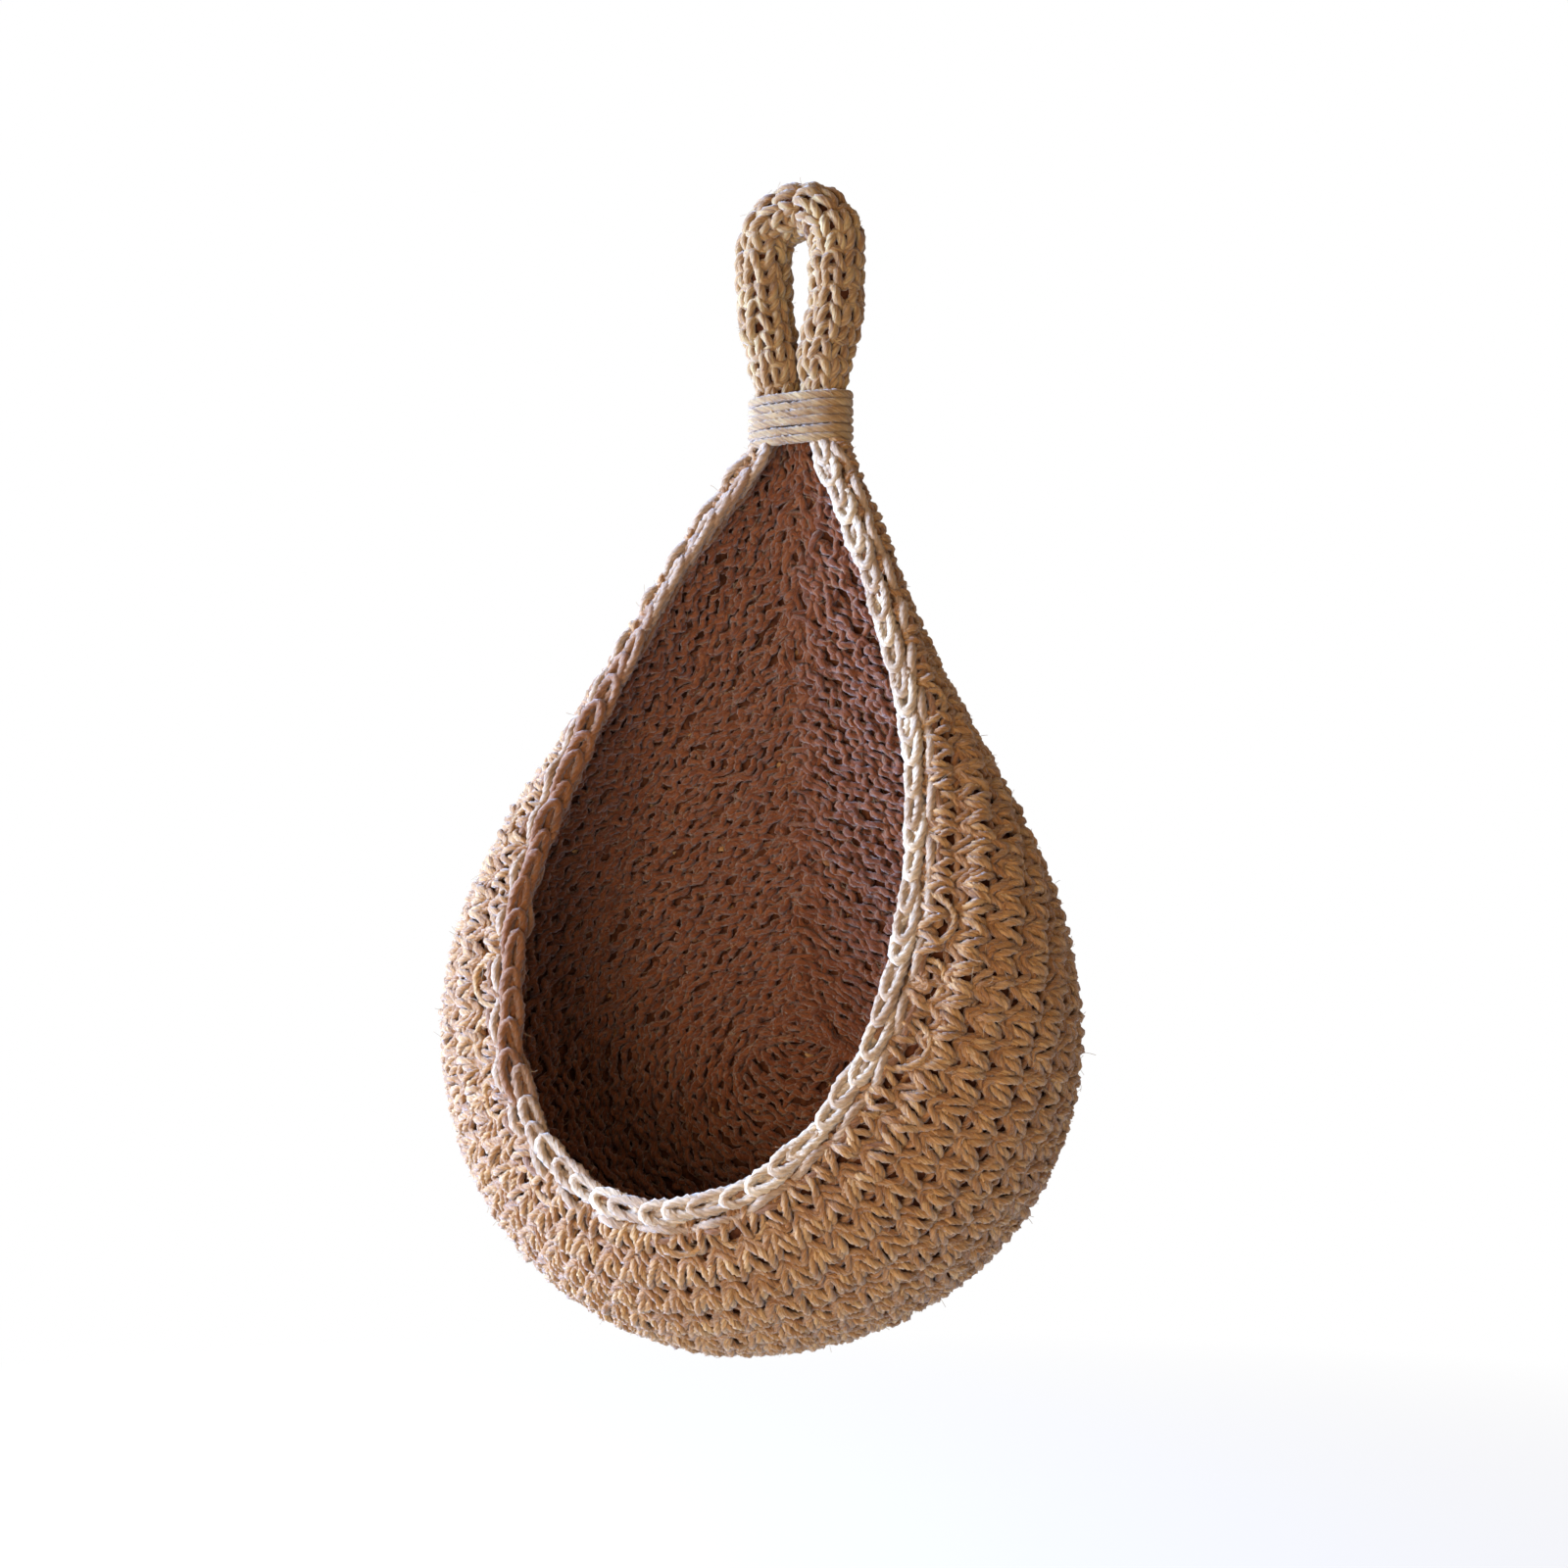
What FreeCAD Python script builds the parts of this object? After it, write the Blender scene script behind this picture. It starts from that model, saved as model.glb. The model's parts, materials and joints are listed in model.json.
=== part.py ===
import FreeCAD, Part
import math
import os

from FreeCAD import Vector

# Teardrop wall basket crocheted in jute twine, hung by a corded loop that is lashed to its neck.
# Origin at the inside top of the loop, where it hangs on a peg. +Z up, +X right, +Y towards the wall.

# Hanging loop
CORD_DIA = 18.0          # thick crocheted cord
EYE_WIDTH = 11.5         # clear width of the loop's eye
LOOP_LENGTH = 57.0       # inside top of the loop to the top of the binding
LEG_GAP = 0.8            # between the two legs where they enter the binding
SWAY_HEIGHT = 26.0       # height over which the legs spread from the binding to the eye's full width
TILT_MAX_DEG = 40.0      # how far the basket swings away from the wall on its soft neck
SEAT_GAP = 0.3           # running room between a leg's round end and its seat

# Neck and its binding
NECK_WIDTH = 34.0
NECK_DEPTH = 13.6
TWINE_DIA = 3.2
WIND_TURNS = 5
WIND_GAP = 0.5           # between neighbouring turns
WRAP_GAP = 0.2           # between the winding and the neck under it

# Crocheted fabric
WALL = 7.0               # thickness of single crochet in this twine
SEAM_GAP = 0.2           # between pieces that are worked onto each other

# Back panel, a teardrop that lies on the wall
BACK_HEIGHT = 289.0
BACK_HALF_WIDTH = 82.0
BACK_NECK_HALF = 11.0
BACK_SHARPNESS = 1.8     # the higher, the longer and slimmer the neck of the teardrop

# Mouth, a teardrop in a plane that leans out from the neck to the front lip
MOUTH_HEIGHT = 266.0
MOUTH_HALF_WIDTH = 73.0
MOUTH_NECK_HALF = 13.0
MOUTH_SHARPNESS = 0.95
MOUTH_NECK_DEPTH = 16.0  # mouth's distance from the wall at the neck
LIP_REACH = 98.0         # how much further from the wall the lip is than the neck
EDGING_WIDTH = 10.0      # across the wall's edge
EDGING_HEIGHT = 6.0      # how far the edging stands into the mouth
CROWN_REACH = 4 / 3      # control points of a cubic curve stand this much higher than its crown
FLARE_REACH = 2.0        # and this much wider than its flare on both sides together

# Belly of the pouch
MOUTH_BULGE = 61.0       # reach of the wall outwards from the mouth
BACK_BULGE = 46.0        # reach of the wall outwards from the back panel
BACK_RISE_DEG = 20.0     # angle at which the wall leaves the plane of the back panel
NECK_FULLNESS = 0.25     # share of the bulge left at the neck
BULGE_START = 0.2        # share of the height where the belly starts to swell
BULGE_FULL = 0.77        # share of the height where the belly is full
SIDE_STATIONS = 12       # sections along each side of the wall, from the neck to the bottom

cord_r = CORD_DIA / 2
twine_r = TWINE_DIA / 2
leg_x = cord_r + LEG_GAP / 2
arch_r = (EYE_WIDTH + CORD_DIA) / 2
wind_pitch = TWINE_DIA + WIND_GAP
neck_height = WIND_TURNS * wind_pitch + TWINE_DIA + 2 * WRAP_GAP
neck_top = -LOOP_LENGTH
neck_low = neck_top - neck_height
back_y = NECK_DEPTH / 2 + WRAP_GAP + TWINE_DIA
hinge_z = neck_top + cord_r * math.sin(math.radians(TILT_MAX_DEG)) + SEAT_GAP
side_angles = [math.pi * i / SIDE_STATIONS for i in range(SIDE_STATIONS + 1)]


def teardrop(phi, half_width, sharpness):
    """Half width of a teardrop at angle phi, from 0 at its point to pi at its round end."""
    peak_cos = 1 / math.sqrt(2 + sharpness)
    peak_sin = math.sqrt(1 - peak_cos ** 2)
    peak = 2 * peak_cos * peak_sin ** (1 + sharpness)
    return half_width * math.sin(phi) * math.sin(phi / 2) ** sharpness / peak


def drop(phi):
    """Share of the height below the neck at angle phi."""
    return (1 - math.cos(phi)) / 2


def mouth_point(phi):
    low = drop(phi)
    x = MOUTH_NECK_HALF * (1 - low) + teardrop(phi, MOUTH_HALF_WIDTH, MOUTH_SHARPNESS)
    return Vector(x, back_y - MOUTH_NECK_DEPTH - LIP_REACH * low, neck_low - MOUTH_HEIGHT * low)


def back_point(phi):
    low = drop(phi)
    x = BACK_NECK_HALF * (1 - low) + teardrop(phi, BACK_HALF_WIDTH, BACK_SHARPNESS)
    return Vector(x, back_y, neck_low - BACK_HEIGHT * low)


def outward(outline, phi):
    """Direction out of an outline, square to it and parallel to the wall."""
    if phi == 0:
        return Vector(1, 0, 0)
    if phi == math.pi:
        return Vector(0, 0, -1)
    step = 1e-4
    along = outline(phi + step) - outline(phi - step)
    return Vector(-along.z, 0, along.x).normalize()


def bulge(phi):
    """Share of the full bulge at angle phi, small at the neck and whole at the belly."""
    t = min(max((drop(phi) - BULGE_START) / (BULGE_FULL - BULGE_START), 0), 1)
    return NECK_FULLNESS + (1 - NECK_FULLNESS) * t * t * (3 - 2 * t)


def wall_profile(phi):
    """Outer and inner curve of the pouch wall, each four control points from the mouth to the back."""
    mouth, back = mouth_point(phi), back_point(phi)
    from_mouth = outward(mouth_point, phi)
    rise = math.radians(BACK_RISE_DEG)
    from_back = outward(back_point, phi) * math.cos(rise) - Vector(0, math.sin(rise), 0)
    reach_mouth = from_mouth * (MOUTH_BULGE * bulge(phi))
    reach_back = from_back * (BACK_BULGE * bulge(phi))
    outer_mouth = mouth - Vector(0, WALL / 2, 0)
    outer = [outer_mouth, outer_mouth + reach_mouth, back + reach_back, back]

    middle = (outer[0] + outer[1] * 3 + outer[2] * 3 + outer[3]) * (1 / 8)
    along = (outer[3] + outer[2] - outer[1] - outer[0]).normalize()
    across = from_mouth + from_back
    across = (across - along * across.dot(along)).normalize()

    inner_mouth, inner_back = mouth + Vector(0, WALL / 2, 0), back - Vector(0, WALL, 0)
    inner_middle = middle - across * WALL
    needed = (inner_middle * 8 - (inner_mouth + inner_back) * 4).dot(across)
    share = needed / (3 * (reach_mouth + reach_back).dot(across))
    inner = [inner_mouth, inner_mouth + reach_mouth * share, inner_back + reach_back * share, inner_back]
    return outer, inner


def mirrored(points):
    return [Vector(-p.x, p.y, p.z) for p in points]


def bezier(points):
    curve = Part.BezierCurve()
    curve.setPoles(points)
    return curve.toShape()


def line(start, end):
    return Part.LineSegment(start, end).toShape()


def round_the_mouth(section):
    """Sections at even angles from one side of the neck, under the belly, to the other side."""
    right = [section(phi, list) for phi in side_angles]
    left = [section(phi, mirrored) for phi in side_angles[-2::-1]]
    return right + left


def wall_section(phi, side):
    outer, inner = [side(points) for points in wall_profile(phi)]
    return Part.Wire([bezier(outer), line(outer[3], inner[3]), bezier(inner[::-1]), line(inner[0], outer[0])])


def edging_section(phi, side):
    """A bead that sits on the wall's edge and stands into the mouth."""
    into_mouth = outward(mouth_point, phi) * -1
    seat = mouth_point(phi) + into_mouth * SEAM_GAP
    half_wall = Vector(0, WALL / 2, 0)
    crown = into_mouth * (EDGING_HEIGHT * CROWN_REACH)
    flare = Vector(0, (EDGING_WIDTH - WALL) * FLARE_REACH, 0)
    bead = side([seat - half_wall, seat - half_wall + crown - flare, seat + half_wall + crown + flare,
                 seat + half_wall])
    return Part.Wire([bezier(bead), line(bead[3], bead[0])])


def tangent_arc(start, corner, end):
    """Arc from start to end whose end tangents meet at corner, as far from the one as from the other."""
    chord_middle = (start + end) * 0.5
    half_chord = (end - start).Length / 2
    to_corner = corner - chord_middle
    turn = 2 * math.atan2(to_corner.Length, half_chord)
    top = chord_middle + to_corner.normalize() * (half_chord * math.tan(turn / 4))
    return Part.Arc(start, top, end).toShape()


def biarc(start, along_start, end, along_end):
    """Two tangent arcs from start to end, leaving and arriving in the given directions."""
    span = end - start
    both = along_start + along_end
    turn = 2 * (1 - along_start.dot(along_end))
    reach = (math.sqrt(span.dot(both) ** 2 + turn * span.dot(span)) - span.dot(both)) / turn
    first, second = start + along_start * reach, end - along_end * reach
    middle = (first + second) * 0.5
    return [tangent_arc(start, first, middle), tangent_arc(middle, second, end)]


def wind_oval(turns, pitch, start_z):
    """Oval turns round the neck in quarter-turn biarcs, from the middle of the wall side."""
    half_x = NECK_WIDTH / 2 + WRAP_GAP + twine_r
    half_y = NECK_DEPTH / 2 + WRAP_GAP + twine_r
    quarter_length = math.pi * (half_x + half_y) / 4
    climb = pitch / 4

    def corner(i):
        spot = ((0, half_y), (-half_x, 0), (0, -half_y), (half_x, 0))[i % 4]
        heading = ((-1, 0), (0, -1), (1, 0), (0, 1))[i % 4]
        along = Vector(heading[0] * quarter_length, heading[1] * quarter_length, climb)
        return Vector(spot[0], spot[1], start_z + climb * i), along.normalize()

    edges = []
    for i in range(4 * turns):
        edges += biarc(*corner(i), *corner(i + 1))
    return edges, corner(0), corner(4 * turns)


def tube(path, radius):
    """Round tube along a wire."""
    start = path.Edges[0]
    first = start.FirstParameter
    circle = Part.Circle(start.valueAt(first), start.tangentAt(first), radius)
    return path.makePipeShell([Part.Wire(circle.toShape())], True, False)


def volume_share(solid, path, radius):
    """Volume of a tube as a share of its section times its length, 1 where it has no kink."""
    return round(solid.Volume / (math.pi * radius ** 2 * path.Length), 4)


def least_gap_to_itself(path, diameter):
    """Clear distance between stretches of a winding that lie over half a turn apart along it."""
    points = path.discretize(Distance=diameter / 2)
    skip = len(points) // (2 * WIND_TURNS)
    pairs = ((p, q) for i, p in enumerate(points) for q in points[i + skip:])
    return min((p - q).Length for p, q in pairs) - diameter


def make_back_panel():
    inset = [back_point(phi) - outward(back_point, phi) * SEAM_GAP for phi in side_angles]
    inset[0].z -= SEAM_GAP
    edge = Part.BSplineCurve()
    edge.interpolate(inset + mirrored(inset[-2::-1]))
    outline = Part.Wire([edge.toShape(), line(mirrored(inset)[0], inset[0])])
    return Part.Face(outline).extrude(Vector(0, -WALL, 0))


def make_neck():
    oval = Part.Wire(wind_oval(1, 0, neck_low)[0])
    neck = Part.Face(oval.makeOffset2D(-twine_r - WRAP_GAP)).extrude(Vector(0, 0, neck_height))
    for x in (-leg_x, leg_x):
        neck = neck.cut(Part.makeSphere(cord_r + SEAT_GAP, Vector(x, 0, hinge_z)))
    return neck


def make_pouch():
    wall = Part.makeLoft(round_the_mouth(wall_section), True)
    return wall.fuse(make_neck()).removeSplitter()


def make_rim_edging():
    return Part.makeLoft(round_the_mouth(edging_section), True)


def make_hanging_loop():
    """Cord up one leg, over the arch and down the other, with round ends that roll in the neck's seats."""
    spread = arch_r - leg_x
    half_sway = math.hypot(spread, SWAY_HEIGHT) / 2
    up = Vector(0, 0, half_sway / (2 * math.cos(math.atan2(spread, SWAY_HEIGHT))))

    def leg(side):
        foot, knee = Vector(side * leg_x, 0, hinge_z), Vector(side * arch_r, 0, hinge_z + SWAY_HEIGHT)
        middle = (foot + knee) * 0.5
        shoulder = Vector(side * arch_r, 0, cord_r - arch_r)
        return [(foot, foot + up, middle), (middle, knee - up, knee), (knee, shoulder)]

    right, left = leg(1), leg(-1)
    climb = [tangent_arc(*right[0]), tangent_arc(*right[1]), line(*right[2])]
    arch = Part.Arc(right[2][1], Vector(0, 0, cord_r), left[2][1]).toShape()
    descent = [line(*left[2][::-1]), tangent_arc(*left[1][::-1]), tangent_arc(*left[0][::-1])]
    path = Part.Wire(climb + [arch] + descent)
    cord = tube(path, cord_r)
    print("hanging loop: volume over section times length", volume_share(cord, path, cord_r))
    for x in (-leg_x, leg_x):
        cord = cord.fuse(Part.makeSphere(cord_r, Vector(x, 0, hinge_z)))
    return cord.removeSplitter()


def make_neck_binding():
    start_z = neck_low + WRAP_GAP + twine_r
    turns, start, end = wind_oval(WIND_TURNS, wind_pitch, start_z)
    first_tail = line(start[0] - start[1] * TWINE_DIA, start[0])
    last_tail = line(end[0], end[0] + end[1] * TWINE_DIA)
    path = Part.Wire([first_tail] + turns + [last_tail])
    winding = tube(path, twine_r)
    print("neck binding: least gap to itself", round(least_gap_to_itself(path, TWINE_DIA), 3))
    print("neck binding: volume over section times length", volume_share(winding, path, twine_r))
    return winding


makers = {
    "back_panel": make_back_panel,
    "pouch": make_pouch,
    "rim_edging": make_rim_edging,
    "hanging_loop": make_hanging_loop,
    "neck_binding": make_neck_binding,
}

os.makedirs("parts", exist_ok=True)
for node, make in makers.items():
    shape = make()
    print(node, "solids", len(shape.Solids), "valid", shape.isValid(), "volume", round(shape.Volume))
    shape.exportStep("parts/" + node + ".step")
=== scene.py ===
import json
import math

import bpy
import numpy as np
from mathutils import Matrix, Vector


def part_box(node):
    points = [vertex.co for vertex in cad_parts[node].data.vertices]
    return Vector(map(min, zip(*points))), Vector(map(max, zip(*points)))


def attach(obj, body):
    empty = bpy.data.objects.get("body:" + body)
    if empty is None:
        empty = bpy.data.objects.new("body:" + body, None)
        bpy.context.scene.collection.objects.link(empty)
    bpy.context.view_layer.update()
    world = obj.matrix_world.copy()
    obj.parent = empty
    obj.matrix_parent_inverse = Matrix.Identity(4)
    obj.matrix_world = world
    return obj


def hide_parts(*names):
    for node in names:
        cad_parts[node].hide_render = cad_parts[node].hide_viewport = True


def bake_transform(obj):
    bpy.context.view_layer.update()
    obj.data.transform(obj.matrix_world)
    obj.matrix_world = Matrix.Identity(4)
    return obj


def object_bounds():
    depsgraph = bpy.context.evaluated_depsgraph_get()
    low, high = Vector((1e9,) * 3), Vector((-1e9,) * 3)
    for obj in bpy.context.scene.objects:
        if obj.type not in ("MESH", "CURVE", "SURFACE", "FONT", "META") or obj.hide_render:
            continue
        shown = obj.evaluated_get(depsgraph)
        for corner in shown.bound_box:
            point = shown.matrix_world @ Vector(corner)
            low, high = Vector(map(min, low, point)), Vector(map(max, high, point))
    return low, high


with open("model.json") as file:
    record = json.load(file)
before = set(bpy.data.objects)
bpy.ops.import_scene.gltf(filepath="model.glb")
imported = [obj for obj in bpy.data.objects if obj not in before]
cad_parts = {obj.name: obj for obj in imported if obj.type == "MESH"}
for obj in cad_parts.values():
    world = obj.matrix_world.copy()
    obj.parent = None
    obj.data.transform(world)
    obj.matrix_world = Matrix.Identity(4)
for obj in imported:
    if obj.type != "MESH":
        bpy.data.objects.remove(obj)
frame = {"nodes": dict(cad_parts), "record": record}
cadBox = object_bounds()
mm = 0.001
rng = np.random.default_rng(11)
print("frame loaded:", ", ".join(sorted(frame["nodes"])))


# Small sums used all over

def unit(v):
    return v / np.maximum(np.linalg.norm(v, axis=-1, keepdims=True), 1e-9)


def smooth(t):
    t = np.clip(t, 0, 1)
    return t * t * (3 - 2 * t)


def somePhase():
    # anywhere in nearly a whole turn
    return rng.uniform(0, 6)


def runLength(points):
    return np.concatenate([[0], np.linalg.norm(np.diff(points, axis=0), axis=1).cumsum()])


def spline(poles, steps):
    t = np.arange(steps) / steps
    weights = np.stack([(1 - t) ** 3, 3 * t ** 3 - 6 * t ** 2 + 4, -3 * t ** 3 + 3 * t ** 2 + 3 * t + 1, t ** 3]) / 6
    spans = len(poles) - 3
    line = sum(poles[k:k + spans, None, :] * weights[k][None, :, None] for k in range(4))
    last = (poles[-3] + 4 * poles[-2] + poles[-1]) / 6
    return np.concatenate([line.reshape(-1, 3), last[None]])


# Shape of the basket, in millimetres: a teardrop back on the wall, a leaning teardrop mouth, a belly between them
shape = {
    "wall": 7.0,
    "backNeckHalf": 11.0,
    "backSharpness": 1.8,
    "mouthHeight": 266.0,
    "mouthHalf": 73.0,
    "mouthNeckHalf": 13.0,
    "mouthSharpness": 0.95,
    "mouthNeckDepth": 16.0,
    "lipReach": 98.0,
    "mouthBulge": 61.0,
    "backBulge": 46.0,
    "backRise": math.radians(20),
    "neckFullness": 0.25,
    "bulgeStart": 0.2,
    "bulgeFull": 0.77,
    "straightAbove": math.radians(15),  # over this angle the edges leave the neck straight sideways
    "uprightAbove": math.radians(9),
    "roundEnd": 0.05,                   # this near the bottom, in radians, the back's end is round
    "flatFrom": 2.0,                    # the back is flat from here inside its edge
    "overlap": 1.5,                     # rounds cross the back's middle line by this much
    "sink": 2.0,                        # the stitches' middle lies this far inside the wall's middle
    "wobble": 0.9,                      # handwork: the wall wanders this far in and out
    "wobbleLength": 38.0,
    "wobbleWaves": 9,
}
# how finely the wall is worked out: steps from neck to bottom, millimetres past the rim and down to the back's middle,
# steps along each curve and round, and the angle that a slope is taken over
fineness = {"round": 241, "rimReach": 14, "deepest": 270, "curve": 161, "guide": 500, "slope": 1e-4}
backLow, backHigh = (np.array(corner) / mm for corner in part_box("back_panel"))
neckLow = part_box("neck_binding")[0].z / mm
backY, backHalf, backHeight = backHigh[1], backHigh[0], neckLow - backLow[2]


def teardrop(phi, half, sharpness):
    peakCos = 1 / math.sqrt(2 + sharpness)
    peakSin = math.sqrt(1 - peakCos ** 2)
    peak = 2 * peakCos * peakSin ** (1 + sharpness)
    return half * np.sin(phi) * np.abs(np.sin(phi / 2)) ** sharpness / peak


def mouthEdge(phi):
    low = (1 - np.cos(phi)) / 2
    x = shape["mouthNeckHalf"] * (1 - low) + teardrop(phi, shape["mouthHalf"], shape["mouthSharpness"])
    y = backY - shape["mouthNeckDepth"] - shape["lipReach"] * low
    return np.stack([x, y, neckLow - shape["mouthHeight"] * low], axis=-1)


def backEdge(phi):
    low = (1 - np.cos(phi)) / 2
    x = shape["backNeckHalf"] * (1 - low) + teardrop(phi, backHalf, shape["backSharpness"])
    return np.stack([x, np.full_like(phi, backY), neckLow - backHeight * low], axis=-1)


def outward(edge, phi):
    def square(angle):
        along = edge(angle + fineness["slope"]) - edge(angle - fineness["slope"])
        return unit(np.stack([-along[..., 2], np.zeros_like(angle), along[..., 0]], axis=-1))

    start = shape["straightAbove"]
    share = np.clip(phi / start, 0, 1)[..., None]
    return unit(square(np.maximum(phi, start)) * share + np.array([1.0, 0, 0]) * (1 - share))


# The middle of the wall as a grid: phi runs round the mouth from the neck to the bottom, and s runs from the rim over
# the belly to the back's edge, then across the back to its middle line
phiGrid = np.linspace(0, math.pi, fineness["round"])
sGrid = np.arange(-fineness["rimReach"], fineness["deepest"], 1.0)


def layGrid():
    mouth, back = mouthEdge(phiGrid), backEdge(phiGrid)
    fromMouth, outBack = outward(mouthEdge, phiGrid), outward(backEdge, phiGrid)
    rise = shape["backRise"]
    fromBack = outBack * math.cos(rise) - np.array([0, math.sin(rise), 0])
    low = (1 - np.cos(phiGrid)) / 2
    fill = smooth((low - shape["bulgeStart"]) / (shape["bulgeFull"] - shape["bulgeStart"]))
    bulge = (shape["neckFullness"] + (1 - shape["neckFullness"]) * fill)[:, None]
    reachMouth, reachBack = fromMouth * shape["mouthBulge"] * bulge, fromBack * shape["backBulge"] * bulge
    half = np.array([0, shape["wall"] / 2, 0])

    # the outer face's curve, moved in by half the wall
    outer = [mouth - half, mouth - half + reachMouth, back + reachBack, back]
    along = unit(outer[3] + outer[2] - outer[1] - outer[0])
    across = fromMouth + fromBack
    across = unit(across - along * (across * along).sum(1, keepdims=True))
    middle = (outer[0] + 3 * outer[1] + 3 * outer[2] + outer[3]) / 8 - across * shape["wall"] / 2
    needed = ((middle * 8 - (mouth + back - half) * 4) * across).sum(1, keepdims=True)
    share = needed / (3 * ((reachMouth + reachBack) * across).sum(1, keepdims=True))
    poles = [mouth, mouth + reachMouth * share, back - half + reachBack * share, back - half]

    t = np.linspace(0, 1, fineness["curve"])[None, :, None]
    line = sum(math.comb(3, i) * (1 - t) ** (3 - i) * t ** i * p[:, None] for i, p in enumerate(poles))
    grid, edge = np.empty((len(phiGrid), len(sGrid), 3)), np.empty(len(phiGrid))
    for i in range(len(phiGrid)):
        length = runLength(line[i])
        edge[i] = length[-1]
        for axis in range(3):
            grid[i, :, axis] = np.interp(sGrid, length, line[i, :, axis])
        before, after = np.minimum(sGrid, 0)[:, None], np.maximum(sGrid - edge[i], 0)[:, None]
        grid[i] += fromMouth[i] * before - outBack[i] * after

    # how far the middle line of the back is from its edge; at the round end that is the radius there
    inner = back[:, 0] / np.maximum(outBack[:, 0], 1e-6)
    level = phiGrid < math.pi - shape["roundEnd"]
    inner[~level] = inner[level][-1]
    return grid, edge, np.maximum.accumulate(edge + inner)


place, edgeAt, closeAt = layGrid()
slopeS = unit(np.gradient(place, axis=1))
slopePhi = unit(np.gradient(place, axis=0) + np.array([0, 0, -1e-3]))  # a hair down, so that none is nil
facing = unit(np.cross(slopePhi, slopeS))
facing *= np.sign(-facing[len(phiGrid) // 2, fineness["rimReach"], 1])
# at the very top the wall stands upright into the neck, and the back is flat
upright = phiGrid < shape["uprightAbove"]
facing[upright] = unit(facing[upright.sum()] * [1, 1, 0])
facing[sGrid[None] > edgeAt[:, None] + shape["flatFrom"]] = [0, 1, 0]
print("wall: rim to back edge", edgeAt[[0, -1]].round(), "mm, rim to middle line", closeAt[[0, -1]].round(), "mm")


def lookUp(grid, phi, s):
    # between the four corners of a cell, stopping just inside the last one
    i = np.clip(phi / phiGrid[1], 0, len(phiGrid) - 1.001)
    j = np.clip(s - sGrid[0], 0, len(sGrid) - 1.001)
    i0, j0 = i.astype(int), j.astype(int)
    a, b = (i - i0)[:, None], (j - j0)[:, None]
    return ((grid[i0, j0] * (1 - b) + grid[i0, j0 + 1] * b) * (1 - a)
            + (grid[i0 + 1, j0] * (1 - b) + grid[i0 + 1, j0 + 1] * b) * a)


waves = rng.normal(0, 1, (shape["wobbleWaves"], 3)) / shape["wobbleLength"]
phases = rng.uniform(0, 2 * math.pi, shape["wobbleWaves"])


def wander(points):
    evened = math.sqrt(shape["wobbleWaves"])
    return np.sin(points @ waves.T + phases).mean(1, keepdims=True) * evened * shape["wobble"]


# Under the lashing the fabric is gathered to an oval
neck = {"climb": 13.0, "gather": 8.0, "halfX": 13.5, "halfY": 4.4,
        "from": math.radians(-65), "to": math.radians(90)}


def guideRound(sMiddle):
    # a round of stitches at one distance from the rim: u runs along it from the right of the neck, or from the back's
    # middle line, under the belly to the left
    closed = sMiddle > closeAt[0]
    phi = np.linspace(np.interp(sMiddle, closeAt, phiGrid) if closed else 0.0, math.pi, fineness["guide"])
    arc = runLength(lookUp(place, phi, np.full_like(phi, sMiddle)))
    climb = 0.0 if closed else neck["climb"]
    half = arc[-1] + climb

    def at(u, s, n):
        u = np.mod(u, 2 * half) if closed else u
        right = u <= half
        run = np.where(right, u, 2 * half - u) - climb
        angle = np.interp(run, arc, phi)
        s = np.minimum(s, np.interp(angle, phiGrid, closeAt) + shape["overlap"])
        spot = lookUp(place, angle, s)
        spot += lookUp(facing, angle, s) * (n[:, None] - shape["sink"] + wander(spot))
        rising = np.maximum(-run, 0)
        turn = neck["from"] + (neck["to"] - neck["from"]) * np.clip(s / closeAt[0], 0, 1)
        oval = np.stack([(neck["halfX"] + n / 2) * np.cos(turn), (neck["halfY"] + n / 2) * np.sin(turn),
                         np.full_like(n, neckLow)], axis=1)
        spot += (oval - spot) * smooth(rising / neck["gather"])[:, None]
        spot[:, 2] += rising
        spot[:, 0] *= np.where(right, 1, -1)
        return spot

    return {"length": 2 * half, "closed": closed, "at": at}


# Twine: plied strands laid along lines, each piece one mesh. A twine has a radius, a number of plies, the share of the
# radius that is left in the grooves between them, the millimetres of one turn of its lay, and how uneven and rough it
# is. On the map of a piece its strands lie one after the other, in bands
strandMap = {"spare": 2.0, "roomy": 1.1, "used": 0.98, "margin": 0.05, "body": 0.9, "cap": 0.4, "capAt": (0.2, 0.7)}
swellLengths = (4.3, 1.7)       # millimetres for a radian of the waves in a strand's thickness
yarnLength = 500.0              # each strand starts somewhere in this length of one yarn
offStrand = (0.31, 0.52, 0.79)  # a direction that no strand starts in


def carryFrames(strands):
    most = max(len(p) for p in strands)
    padded = np.stack([np.concatenate([p, p[-1] + np.outer(np.arange(1, most - len(p) + 1), p[-1] - p[-2])])
                       for p in strands])
    tangent = unit(np.gradient(padded, axis=1))
    side = np.empty_like(tangent)
    side[:, 0] = unit(np.cross(tangent[:, 0], offStrand))
    for i in range(1, most):
        last, ahead = side[:, i - 1], tangent[:, i]
        side[:, i] = unit(last - ahead * (last * ahead).sum(1, keepdims=True))
    other = np.cross(tangent, side)
    return [(side[k, :len(p)], other[k, :len(p)]) for k, p in enumerate(strands)]


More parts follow.
